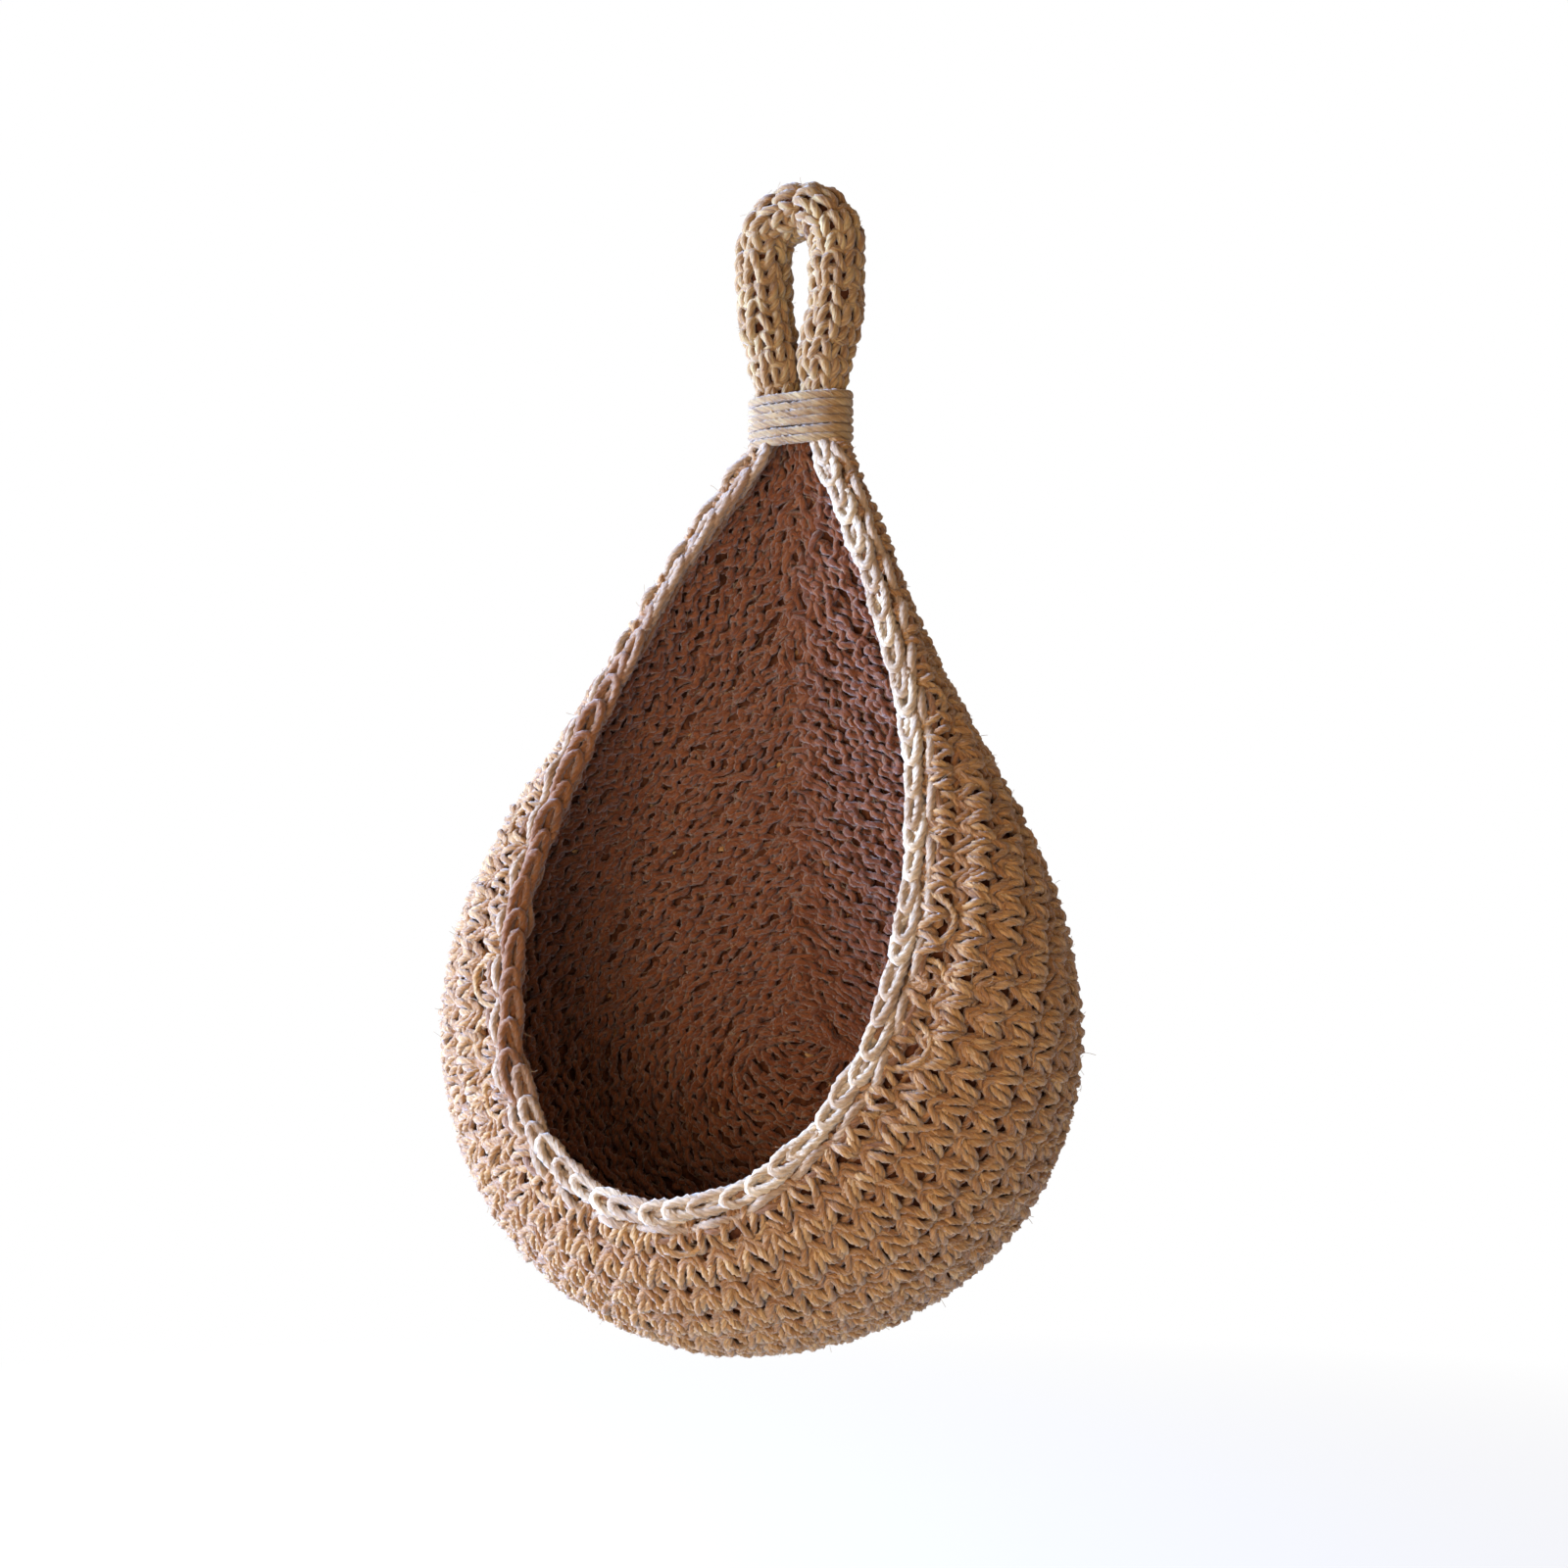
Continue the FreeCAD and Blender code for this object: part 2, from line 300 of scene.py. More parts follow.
def layTwine(name, strands, twine, material, thickness=None, tones=None):
    bead = np.tile([twine["groove"], 1.0], twine["plies"])
    sides = len(bead)
    angle = np.arange(sides) / sides * 2 * math.pi
    corner, after = np.arange(sides), (np.arange(sides) + 1) % sides
    lengths = [runLength(p) for p in strands]
    total = sum(length[-1] + strandMap["spare"] for length in lengths)
    girth = 2 * math.pi * twine["radius"] * strandMap["roomy"]
    wide = math.sqrt(total * girth)
    bands = math.ceil(total / wide) + 1
    spots, fibres, plies, shades, quads, maps = [], [], [], [], [], []
    base, laid = 0, 0.0
    thickness, tones = thickness or [1.0] * len(strands), tones or [1.0] * len(strands)
    for points, arc, thick, tone, (side, other) in zip(strands, lengths, thickness, tones, carryFrames(strands)):
        rings = len(points)
        turn = 2 * math.pi * arc / twine["lay"] + rng.uniform(0, 2 * math.pi)
        uneven = 1 + twine["uneven"] * sum(np.sin(arc / long + somePhase()) for long in swellLengths)
        spin = angle[None] + turn[:, None]
        out = np.cos(spin)[..., None] * side[:, None] + np.sin(spin)[..., None] * other[:, None]
        reach = twine["radius"] * thick * uneven[:, None] * bead[None]
        reach = reach * (1 + twine["rough"] * rng.normal(0, 1, reach.shape))
        spots.append((points[:, None] + out * reach[..., None]).reshape(-1, 3))
        shift = rng.uniform(0, yarnLength)
        around = np.stack([np.cos(angle), np.sin(angle)], axis=1) * twine["radius"]
        fibre = np.empty((rings, sides, 3))
        fibre[..., :2], fibre[..., 2] = around[None], (arc + shift)[:, None]
        fibres.append(fibre.reshape(-1, 3))
        plies.append(np.tile((bead - bead.min()) / max(1 - bead.min(), 1e-6), rings))
        shades.append(np.full(rings * sides, tone))

        row = np.arange(rings - 1)[:, None] * sides
        quads.append(base + np.stack([row + corner, row + after, row + sides + after, row + sides + corner], axis=2))
        along = (laid + arc) / wide
        band = np.floor(along[:-1])
        u0, u1 = (along[:-1] - band) * strandMap["used"], (along[1:] - band) * strandMap["used"]
        v0 = (band[:, None] + strandMap["margin"] + strandMap["body"] * corner / sides) / bands
        v1 = v0 + strandMap["body"] / sides / bands
        u0, u1 = np.broadcast_to(u0[:, None], v0.shape), np.broadcast_to(u1[:, None], v0.shape)
        maps.append(np.stack([u0, v0, u0, v1, u1, v1, u1, v0], axis=2).reshape(-1, 8))
        # both ends closed by strips of quads
        for ring, flip in ((0, 1), ((rings - 1) * sides, -1)):
            j = np.arange(sides // 2 - 1)
            cap = base + ring + np.stack([j, sides - 1 - j, sides - 2 - j, j + 1], axis=1)
            quads.append(cap[:, ::flip])
            corners = np.array([0, 0, 0, 1, 1, 1, 1, 0]) * strandMap["cap"] / bands
            capU, capDown = strandMap["capAt"]
            maps.append(np.tile(corners + np.tile([capU, (bands - capDown) / bands], 4), (len(j), 1)))
        base += rings * sides
        laid += arc[-1] + strandMap["spare"]

    quads = np.concatenate([q.reshape(-1, 4) for q in quads]).astype(np.int32)
    mesh = bpy.data.meshes.new(name)
    mesh.vertices.add(base)
    mesh.vertices.foreach_set("co", (np.concatenate(spots) * mm).astype(np.float32).ravel())
    mesh.loops.add(quads.size)
    mesh.loops.foreach_set("vertex_index", quads.ravel())
    mesh.polygons.add(len(quads))
    mesh.polygons.foreach_set("loop_start", np.arange(0, quads.size, 4, dtype=np.int32))
    mesh.update(calc_edges=True)
    mesh.shade_smooth()
    flat = mesh.uv_layers.new(name="OFBake")
    flat.uv.foreach_set("vector", np.concatenate(maps).astype(np.float32).ravel())
    held = mesh.attributes.new("fibre", "FLOAT_VECTOR", "POINT")
    held.data.foreach_set("vector", np.concatenate(fibres).astype(np.float32).ravel())
    for title, values in (("ply", plies), ("tone", shades)):
        held = mesh.attributes.new(title, "FLOAT", "POINT")
        held.data.foreach_set("value", np.concatenate(values).astype(np.float32))
    mesh.materials.append(material)
    piece = bpy.data.objects.new(name, mesh)
    bpy.context.scene.collection.objects.link(piece)
    return piece


# Materials

def linear(hexColour):
    parts = [int(hexColour[i:i + 2], 16) / 255 for i in (1, 3, 5)]
    return [c / 12.92 if c <= 0.04045 else ((c + 0.055) / 1.055) ** 2.4 for c in parts] + [1.0]


def addNode(tree, kind, values=None, links=None, **settings):
    node = tree.nodes.new(kind)
    for key, value in settings.items():
        setattr(node, key, value)
    for key, value in (values or {}).items():
        node.inputs[key].default_value = value
    for key, source in (links or {}).items():
        tree.links.new(source, node.inputs[key])
    return node


jute = {
    "fibreWidth": 0.7,              # millimetres; real fibres are 0.05 wide, too fine to show
    "fibreLength": 11.0,
    "patchWidth": 8.33,
    "patchLength": 45.0,
    "fuzzSize": 1.1,
    "fuzzLength": 2.2,
    "napHeight": 0.7,
    "streakHeight": 0.3,
    "streakShare": 0.62,            # of the change in colour; the rest is in patches
    "stops": (0.30, 0.48, 0.68),    # where shade, straw and pale lie in that change
    "groove": 0.72,                 # painted shade: the grooves between the plies are darkened to this share
    "speckleFrom": (0.36, 0.6),
    "speckle": (0.8, 1.14),
    "rough": (0.62, 0.92),
}


def spunJute(name, pale, straw, shade, shadeBrown="#b0744e"):
    # natural jute, spun and plied: matt, hairy, streaked along the twist, with painted shade darkening the grooves
    # between the plies
    material = bpy.data.materials.new(name)
    material.use_nodes = True
    tree = material.node_tree
    tree.nodes.clear()
    lay = addNode(tree, "ShaderNodeAttribute", attribute_name="fibre")
    ply = addNode(tree, "ShaderNodeAttribute", attribute_name="ply")
    thin, broad, curl = 1 / jute["fibreWidth"], 1 / jute["patchWidth"], 1 / jute["fuzzSize"]
    drawn = addNode(tree, "ShaderNodeMapping", {"Scale": (thin, thin, 1 / jute["fibreLength"])},
                    {"Vector": lay.outputs["Vector"]})
    streak = addNode(tree, "ShaderNodeTexNoise", {"Scale": 1.0, "Detail": 3.0, "Roughness": 0.6},
                     {"Vector": drawn.outputs["Vector"]})
    stretch = addNode(tree, "ShaderNodeMapping", {"Scale": (broad, broad, 1 / jute["patchLength"])},
                      {"Vector": lay.outputs["Vector"]})
    patch = addNode(tree, "ShaderNodeTexNoise", {"Scale": 1.0, "Detail": 2.0}, {"Vector": stretch.outputs["Vector"]})
    tone = addNode(tree, "ShaderNodeMath", {1: jute["streakShare"]}, {0: streak.outputs["Fac"]}, operation="MULTIPLY")
    mixed = addNode(tree, "ShaderNodeMath", {1: 1 - jute["streakShare"]},
                    {0: patch.outputs["Fac"], 2: tone.outputs["Value"]}, operation="MULTIPLY_ADD")
    ramp = addNode(tree, "ShaderNodeValToRGB", links={"Fac": mixed.outputs["Value"]})
    first, middle, last = jute["stops"]
    ramp.color_ramp.elements[0].position, ramp.color_ramp.elements[1].position = first, last
    ramp.color_ramp.elements[0].color, ramp.color_ramp.elements[1].color = linear(shade), linear(pale)
    ramp.color_ramp.elements.new(middle).color = linear(straw)
    # painted shade in the grooves between the plies
    groove = addNode(tree, "ShaderNodeMapRange", {"To Min": jute["groove"], "To Max": 1.0},
                     {"Value": ply.outputs["Fac"]})
    combed = addNode(tree, "ShaderNodeMapping", {"Scale": (curl, curl, 1 / jute["fuzzLength"])},
                     {"Vector": lay.outputs["Vector"]})
    fuzz = addNode(tree, "ShaderNodeTexNoise", {"Scale": 1.0, "Detail": 3.0, "Roughness": 0.7, "Distortion": 0.8},
                   {"Vector": combed.outputs["Vector"]})
    (fromLow, fromHigh), (dull, bright) = jute["speckleFrom"], jute["speckle"]
    speckle = addNode(tree, "ShaderNodeMapRange",
                      {"From Min": fromLow, "From Max": fromHigh, "To Min": dull, "To Max": bright},
                      {"Value": fuzz.outputs["Fac"]})
    depth = addNode(tree, "ShaderNodeMath", links={0: groove.outputs["Result"], 1: speckle.outputs["Result"]},
                    operation="MULTIPLY")
    ridged = addNode(tree, "ShaderNodeMix", {"Factor": 1.0}, {6: ramp.outputs["Color"], 7: depth.outputs["Value"]},
                     data_type="RGBA", blend_type="MULTIPLY")
    # painted shade: strands given a low tone (under other strands, inside the basket, on the rim's left side) are
    # mixed towards this brown
    paintedShade = addNode(tree, "ShaderNodeAttribute", attribute_name="tone")
    tint = addNode(tree, "ShaderNodeMix", {6: linear(shadeBrown), 7: linear("#ffffff")}, {0: paintedShade.outputs["Fac"]},
                   data_type="RGBA")
    colour = addNode(tree, "ShaderNodeMix", {"Factor": 1.0}, {6: ridged.outputs[2], 7: tint.outputs[2]},
                     data_type="RGBA", blend_type="MULTIPLY")
    nap = addNode(tree, "ShaderNodeBump", {"Strength": 0.9, "Distance": jute["napHeight"] * mm},
                  {"Height": fuzz.outputs["Fac"]})
    bump = addNode(tree, "ShaderNodeBump", {"Strength": 0.6, "Distance": jute["streakHeight"] * mm},
                   {"Height": streak.outputs["Fac"], "Normal": nap.outputs["Normal"]})
    rough = addNode(tree, "ShaderNodeMapRange", {"To Min": jute["rough"][0], "To Max": jute["rough"][1]},
                    {"Value": streak.outputs["Fac"]})
    cloth = addNode(tree, "ShaderNodeBsdfPrincipled",
                    {"IOR": 1.5, "Specular IOR Level": 0.3, "Sheen Weight": 0.6, "Sheen Roughness": 0.45},
                    {"Base Color": colour.outputs[2], "Roughness": rough.outputs["Result"],
                     "Normal": bump.outputs["Normal"]})
    addNode(tree, "ShaderNodeOutputMaterial", links={"Surface": cloth.outputs["BSDF"]})
    return material


# the dark sheet inside the fabric and in the cord, painted shade for the holes: its clumps
matted = {"clumpSize": 2.0, "clumpHeight": 0.6, "stops": (0.35, 0.65)}  # clumps in millimetres


def holeShade(name, colour, dark):
    # painted shade: a dull dark brown sheet inside the stitches, seen only in the depth of the holes, whose colour
    # stands for their shade
    material = bpy.data.materials.new(name)
    material.use_nodes = True
    tree = material.node_tree
    tree.nodes.clear()
    spot = addNode(tree, "ShaderNodeTexCoord")
    clump = addNode(tree, "ShaderNodeTexNoise", {"Scale": 1 / (matted["clumpSize"] * mm), "Detail": 3.0},
                    {"Vector": spot.outputs["Object"]})
    ramp = addNode(tree, "ShaderNodeValToRGB", links={"Fac": clump.outputs["Fac"]})
    ramp.color_ramp.elements[0].position, ramp.color_ramp.elements[1].position = matted["stops"]
    ramp.color_ramp.elements[0].color, ramp.color_ramp.elements[1].color = linear(dark), linear(colour)
    bump = addNode(tree, "ShaderNodeBump", {"Strength": 0.8, "Distance": matted["clumpHeight"] * mm},
                   {"Height": clump.outputs["Fac"]})
    cloth = addNode(tree, "ShaderNodeBsdfPrincipled", {"Roughness": 0.95, "Specular IOR Level": 0.1},
                    {"Base Color": ramp.outputs["Color"], "Normal": bump.outputs["Normal"]})
    addNode(tree, "ShaderNodeOutputMaterial", links={"Surface": cloth.outputs["BSDF"]})
    return material


# the pale, straw and dark streak colours of each, and the brown that its low-toned strands are mixed towards as
# painted shade
fabricJute = spunJute("crocheted jute twine", "#e4c28a", "#b68447", "#6b3c18")
edgingJute = spunJute("chained jute twine", "#eaddc3", "#dcc49e", "#a0754a", "#9c6626")
cordJute = spunJute("corded jute twine", "#c7b07b", "#a47a47", "#613a18")
bindingJute = spunJute("wound jute twine", "#c8b07f", "#a37d4b", "#654019")
looseJute = spunJute("loose jute fibre", "#e2ceaa", "#d4b88e", "#bf9c6e")
# painted shade: dark brown for what is seen in the depth of the holes
holeShadeJute = holeShade("dark jute painted as shade in the holes", "#6e432a", "#42251a")


# Rounds of single crochet: for each strand of a stitch, points along it as shares of the pitch and of the row's
# height, and millimetres in front of the wall's middle. The V of a stitch dives into the round that is further from
# the rim
crochet = {
    "pitch": 10.6,
    "height": 12.0,
    "lean": 0.3,             # each round's stitches stand this much of a pitch beside those of the round before
    "rounds": 21,
    "jitter": (1.1, 1.0, 0.55),
    "pointJitter": 0.35,     # of that, for each point, and for a whole stitch
    "stitchJitter": 0.5,
    "fewest": 3,             # stitches in a round
    "legs": [(-0.50, 0.04, -2.0), (-0.39, 0.20, 0.8), (-0.29, 0.46, 2.9), (-0.17, 0.76, 2.4), (0.0, 1.02, -1.8),
             (0.17, 0.76, 2.4), (0.29, 0.46, 2.9), (0.39, 0.20, 0.8)],
    "frontLoop": [(-0.5, -0.10, 0.4), (-0.30, 0.06, 1.4), (-0.10, 0.42, 1.2), (0.10, 0.42, 1.2), (0.30, 0.06, 1.4)],
    # the twine is worked double, and each of the two stands this many millimetres off the middle of the pair
    "legsApart": (1.2, 0.3, 0.25),
    "loopsApart": (0.3, 1.2, 0.2),
    # behind the foot of each row a strand rises between the stitches
    "filler": [(-0.5, 1.00, 0.5), (-0.25, 0.94, -0.4), (0.0, 0.90, -1.6), (0.25, 0.94, -0.4)],
    "fillerThickness": 0.95,
    # painted shade: the filler lies between and under the stitches, and its low tone makes it browner
    "fillerTone": 0.52,
    "legThickness": 1.0,
    "wideThickness": 0.9,
    "loopThickness": 0.95,
    # painted shade: the front loops and the second strand of each pair get lower tones, browner, as strands lying
    # partly under others
    "loopTone": 0.66,
    "secondTone": 0.84,
    # on the inside, thin matted runs: each one's share of the row's height and its depth, and the wave they all follow
    "seedPitch": 8.0,
    "seeds": [(0.06, -3.1), (0.26, -4.3), (0.46, -4.9), (0.66, -4.5), (0.86, -3.5)],
    "seedWave": [(-0.5, 0.0, 2.2), (-0.25, 0.13, -2.2), (0.0, 0.0, 1.6), (0.25, -0.13, -1.6)],
    "seedThickness": 0.85,
    # painted shade: the runs on the inside get a low tone, browner, for the shade inside the basket
    "seedTone": 0.1,
    "seedLoose": 2.2,        # the inside is less even by this much
}
# the round next to the rim has wide loops over some pairs of stitches
edgeRound = {
    "pitch": 20.0,
    "share": 0.45,           # of the pairs
    "choices": 200,          # more than there are pairs
    "loose": 1.7,
    "wideLoop": [(-0.50, -0.10, -1.4), (-0.45, 0.12, 1.2), (-0.42, 0.50, 2.3), (-0.30, 0.95, 2.3), (0.0, 1.12, 1.7),
                 (0.30, 0.95, 2.3), (0.42, 0.50, 2.3), (0.45, 0.12, 1.2)],
    "knot": [(-0.5, 0.30, -2.8), (-0.22, 0.02, 0.8), (-0.15, 0.42, 2.1), (-0.06, 0.85, 1.6), (0.04, 0.60, -0.2),
             (0.06, 0.05, 1.0), (0.14, 0.40, 2.3), (0.17, 0.80, 0.8), (0.30, 0.40, -2.2)],
}
fabricTwine = {"radius": 1.6, "plies": 3, "groove": 0.84, "lay": 12.0, "uneven": 0.06, "rough": 0.06}
strandSteps = 3
laidLines = []  # every strand's line, for the stray fibres


def workStitches(guide, top, height, pitch, lean, kinds, order=(0,), loose=1.0, shift=(0, 0, 0)):
    count = max(round(guide["length"] / pitch), crochet["fewest"])
    pitch = guide["length"] / count
    poles = []
    for i in range(count):
        points = np.array(kinds[order[i % len(order)] % len(kinds)]) * [pitch, height, 1]
        slack = np.array(crochet["jitter"]) * loose
        points += rng.normal(0, crochet["pointJitter"], points.shape) * slack
        points += rng.normal(0, crochet["stitchJitter"], 3) * slack
        poles.append(points + shift + [(i + 0.5 + lean % 1) * pitch, top, 0])
    poles = np.concatenate(poles)
    if guide["closed"]:
        loop = np.array([guide["length"], 0, 0])
        poles = np.concatenate([poles[-1:] - loop, poles, poles[:2] + loop])
    line = spline(poles, strandSteps)
    return guide["at"](line[:, 0], line[:, 1], line[:, 2])


def twice(points):
    # two stitches in the width of one
    return [(u / 2 + shift, s, n) for shift in (-0.25, 0.25) for u, s, n in points]


def crochetRound(k):
    height, lean = crochet["height"], k * crochet["lean"]
    top = k * height
    guide = guideRound(top + height / 2)
    pitch, legs, loops, order, loose = crochet["pitch"], [crochet["legs"]], [crochet["frontLoop"]], (0,), 1.0
    legThickness = crochet["legThickness"]
    if k == 0:
        pitch, loose, legThickness = edgeRound["pitch"], edgeRound["loose"], crochet["wideThickness"]
        legs = [edgeRound["wideLoop"], twice(crochet["legs"])]
        loops = [edgeRound["knot"], twice(crochet["frontLoop"])]
        order = rng.choice(2, edgeRound["choices"], p=[edgeRound["share"], 1 - edgeRound["share"]])
    strands = []
    for kinds, apart in ((legs, crochet["legsApart"]), (loops, crochet["loopsApart"])):
        for side in (-1, 1):
            worked = kinds[-1:] if side > 0 else kinds  # only one of the two makes wide loops
            strands.append(workStitches(guide, top, height, pitch, lean, worked, order, loose, np.array(apart) * side))
    strands.append(workStitches(guide, top, height, crochet["pitch"], lean, [crochet["filler"]]))
    for share, depth in crochet["seeds"]:
        wave = [(u, s + share, n + depth) for u, s, n in crochet["seedWave"]]
        strands.append(workStitches(guide, top, height, crochet["seedPitch"], rng.uniform(), [wave], (0,),
                                    crochet["seedLoose"]))
    inside = len(crochet["seeds"])
    thickness = [legThickness] * 2 + [crochet["loopThickness"]] * 2 + [crochet["fillerThickness"]]
    tones = [1.0, crochet["secondTone"]] + [crochet["loopTone"]] * 2 + [crochet["fillerTone"]]
    thickness += [crochet["seedThickness"]] * inside
    tones += [crochet["seedTone"]] * inside
    piece = layTwine(f"crochet_round_{k:02d}", strands, fabricTwine, fabricJute, thickness, tones)
    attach(piece, "basket")
    nodes = ["pouch"] * int(top < edgeAt.max()) + ["back_panel"] * int(top + height > edgeAt.min())
    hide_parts(*nodes)
    laidLines.extend(strands)
    return piece


rounds = [crochetRound(k) for k in range(crochet["rounds"])]
print("rounds:", len(rounds), "faces", sum(len(r.data.polygons) for r in rounds))


# A dark sheet in the middle of the fabric, which shuts the gaps between the stitches; its dark brown is painted shade
# for the holes
heart = {"thick": 1.6, "across": 120, "down": 60, "behind": -1.5, "start": 1.0}


def layHeart():
    half = np.linspace(0, math.pi, heart["across"])
    phi = np.concatenate([half, half[-2::-1]])
    side = np.concatenate([np.ones(len(half)), -np.ones(len(half) - 1)])
    share = np.linspace(0, 1, heart["down"])
    angle, depth = np.repeat(phi, len(share)), np.tile(share, len(phi))
    s = heart["start"] + depth * (np.interp(angle, phiGrid, closeAt) - heart["start"])
    spots = lookUp(place, angle, s)
    spots += lookUp(facing, angle, s) * (heart["behind"] - shape["sink"] + wander(spots))
    spots[:, 0] *= np.repeat(side, len(share))
    row = np.arange(len(phi) - 1)[:, None] * len(share)
    step = np.arange(len(share) - 1)[None]
    first = (row + step).ravel()
    faces = np.stack([first, first + 1, first + 1 + len(share), first + len(share)], axis=1)
    mesh = bpy.data.meshes.new("crochet_heart")
    mesh.from_pydata((spots * mm).tolist(), [], faces.tolist())
    mesh.shade_smooth()
    mesh.materials.append(holeShadeJute)
    piece = bpy.data.objects.new("crochet_heart", mesh)
    bpy.context.scene.collection.objects.link(piece)
    thick = piece.modifiers.new("thickness", "SOLIDIFY")
    thick.thickness, thick.offset = heart["thick"] * mm, 0
    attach(piece, "basket")
    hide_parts("pouch", "back_panel")


layHeart()
print("heart laid")


# Chains: links drawn out to a tip, each tip over the next link's start. No two links are alike: their length and width
# in shares, and how far they slip along, across and up
link = {"steps": 19, "long": (0.92, 1.08), "wide": (0.72, 1.28), "slip": 0.05, "aside": 0.65, "up": 0.35,
        "narrowing": 0.6, "arch": 1.2}


def chainLinks(at, length, chain):
    count = round(length / chain["pitch"])
    t = np.linspace(0, 1, link["steps"])
    there, circle = np.sin(math.pi * t), 2 * math.pi * t
    links = []
    for i in range(count):
        long = chain["pitch"] * chain["reach"] * rng.uniform(*link["long"])
        half = chain["half"] * rng.uniform(*link["wide"])
        along = (i + rng.normal(0, link["slip"])) * length / count + long * (1 - np.cos(circle)) / 2
        across = half * np.sin(circle) * np.abs(there) ** link["narrowing"] + rng.normal(0, link["aside"])
        lift = chain["start"] + (chain["tip"] - chain["start"]) * there ** link["arch"] + rng.normal(0, link["up"])
        links.append(at(along, across, lift))
    return links


# Chain round the mouth: how far apart its links are, their length in pitches and half their width, how high they start
# and end, and where the chain lies on the rim
edging = {"pitch": 10.2, "reach": 1.95, "half": 3.1, "start": -1.7, "tip": 1.3, "s": -2.8, "n": 2.0,
          # which way the chain faces, in degrees towards the mouth, at shares of its way from right to left
          "turns": [(0.5, 6), (0.61, 38), (0.79, 38), (0.88, -42)],
          # its tone along the same way: low on the rim's left side, which faces away from the light, so that side is
          # painted browner as shade
          "shadedTones": [(0.55, 1.0), (0.61, 0.05), (0.79, 0.04), (0.88, 0.5)],
          "leastBleached": 0.5,
          # plain strands beside the chain: s, n, thickness, tone; the low tones of those beside and under the chain
          # are painted shade, browner
          "runs": [(2.9, 2.0, 0.95, 0.5), (5.4, 1.4, 0.8, 0.12), (-1.0, -1.2, 0.9, 0.3), (-4.0, -0.6, 0.8, 0.12),
                   (-2.8, 0.2, 0.9, 0.12)],
          "runStep": 2.0,
          # they sway across and in and out: millimetres for a radian, and how far
          "sway": [(3.1, 0.6), (9.3, 0.6)],
          "dip": (2.9, 1.1)}
edgingTwine = {"radius": 1.95, "plies": 5, "groove": 0.86, "lay": 18.0, "uneven": 0.05, "rough": 0.06}


def braidRim():
    guide = guideRound(0.0)

    def turned(along, across, lift):
        along = np.minimum(along, guide["length"])
        turn = np.radians(np.interp(along / guide["length"], *zip(*edging["turns"])))
        s = edging["s"] + across * np.cos(turn) - lift * np.sin(turn)
        return guide["at"](along, s, edging["n"] + across * np.sin(turn) + lift * np.cos(turn))

    strands = chainLinks(turned, guide["length"], edging)
    along = np.arange(0, guide["length"], edging["runStep"])
    dipLength, dip = edging["dip"]
    thickness = [1.0] * len(strands)
    # painted shade along the rim, times a random difference for each link
    tones = np.interp(np.arange(len(strands)) / len(strands), *zip(*edging["shadedTones"]))
    tones = list(tones * rng.uniform(edging["leastBleached"], 1, len(strands)))
    for s, n, thick, tone in edging["runs"]:
        sway = sum(np.sin(along / long + somePhase()) * far for long, far in edging["sway"])
        strands.append(guide["at"](along, s + sway, n + np.sin(along / dipLength + somePhase()) * dip))
        thickness.append(thick)
        tones.append(tone)
    piece = layTwine("rim_chain", strands, edgingTwine, edgingJute, thickness, tones)
    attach(piece, "basket")
    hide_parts("rim_edging")
    laidLines.extend(strands)


braidRim()
print("rim braided")


# The chain that the back starts from, up its middle line
startChain = {"pitch": 9.6, "reach": 1.5, "half": 2.9, "start": -1.6, "tip": 1.2, "length": 196.0, "below": 3.0,
              "outside": -2.4, "inside": -8.2,
              # matted runs behind it on the inside, given the inside runs' low tone as painted shade
              "matted": (-6.5, -4.0, -1.5, 1.5, 4.0, 6.5), "mattedThickness": 0.75, "mattedPoints": 80,
              "mattedJitter": (2.2, 1.1, 0.8)}


def braidStart():
    top, points = neckLow - startChain["below"], startChain["mattedPoints"]

    def onBack(along, across, lift):
        return np.stack([across, backY + startChain["outside"] + lift, top - along], axis=1)

    outer = chainLinks(onBack, startChain["length"], startChain)
    inner = []
    for x in startChain["matted"]:
        poles = np.stack([np.full(points, x), np.full(points, backY + startChain["inside"]),
                          np.linspace(top, top - startChain["length"], points)], axis=1)
        inner.append(spline(poles + rng.normal(0, 1, poles.shape) * startChain["mattedJitter"], strandSteps))
    strands = outer + inner
    # the inner runs take the inside runs' low tone: painted shade
    piece = layTwine("back_chain", strands, edgingTwine, fabricJute,
                     [1.0] * len(outer) + [startChain["mattedThickness"]] * len(inner),
                     [1.0] * len(outer) + [crochet["seedTone"]] * len(inner))
    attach(piece, "basket")
    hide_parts("back_panel")
    laidLines.extend(strands)


braidStart()
print("back chain laid")


# Hanging loop: a crocheted tube doubled over, its two ends held flat in the neck
cord = {
    "radius": 9.0,
    "middle": 7.1,           # the stitches' middle lies this far from the cord's
    "around": 7,
    "row": 6.3,
    "legX": 9.4,
    "knee": 26.0,
    "end": -77.0,
    "pressFrom": -46.0,      # the lashing presses it from this height, fully after a few millimetres more
    "pressOver": 12.0,
    "pressed": 0.2,
    "flat": 0.68,
    "legSteps": 90,
    "archSteps": 50,
    "core": 7.4,
    "coreSides": 16,
    "coreStep": 2.5,
    "coreEnds": 4.0,
    "legs": [(-0.50, -0.06, -0.8), (-0.36, 0.12, 1.5), (-0.29, 0.50, 2.0), (-0.20, 0.88, 1.6), (0.0, 1.12, -1.6),
             (0.20, 0.88, 1.6), (0.29, 0.50, 2.0), (0.36, 0.12, 1.5)],
    "bar": [(-0.5, 0.05, -0.4), (-0.25, 0.0, 0.6), (0.0, 0.0, 0.9), (0.25, 0.0, 0.6)],
}
cordTwine = {"radius": 1.8, "plies": 5, "groove": 0.86, "lay": 18.0, "uneven": 0.04, "rough": 0.05}
